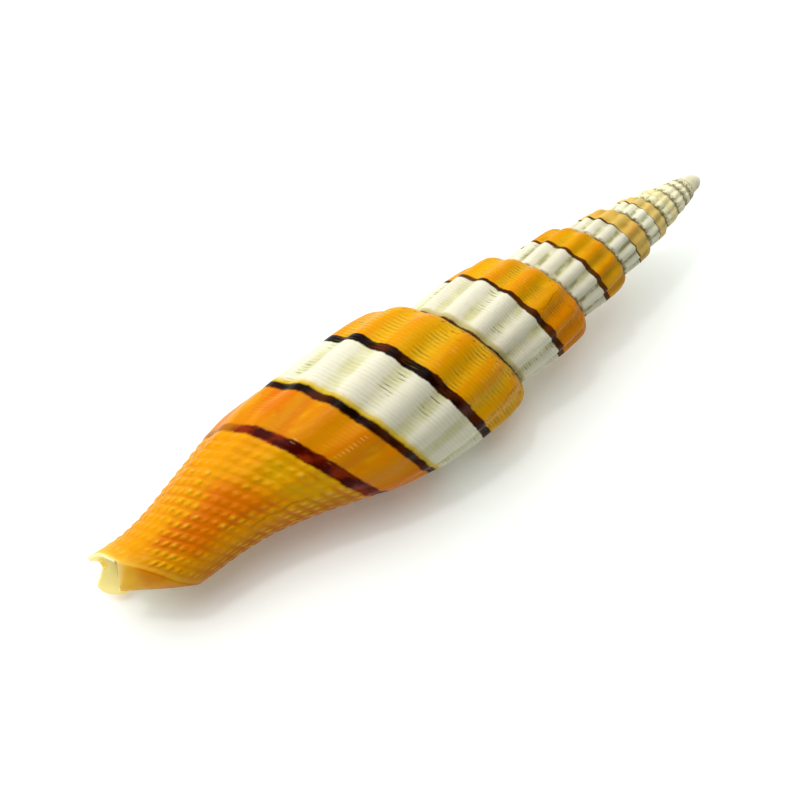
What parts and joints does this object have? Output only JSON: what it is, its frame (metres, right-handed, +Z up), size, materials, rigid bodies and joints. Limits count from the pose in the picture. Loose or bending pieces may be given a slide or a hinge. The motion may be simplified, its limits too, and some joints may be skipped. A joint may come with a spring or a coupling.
{
  "type": "mitre shell",
  "caption": "Slender spindle-shaped sea shell with a tall ribbed spire, a narrow slot aperture and a short open canal, lying on its aperture side.",
  "frame": {"origin": "centre of the bounding box at its bottom, on the surface the shell lies on", "axes": "+X along the shell towards the tip of the spire, +Z up, +Y towards the side of the outer lip"},
  "size_m": [0.0674, 0.0158, 0.0144],
  "materials": {
    "shell": "glossy natural shell, orange and white bands split by dark brown lines, paler and worn towards the tip"
  },
  "bodies": {
    "root": {"shell": "shell"}
  },
  "joints": []
}
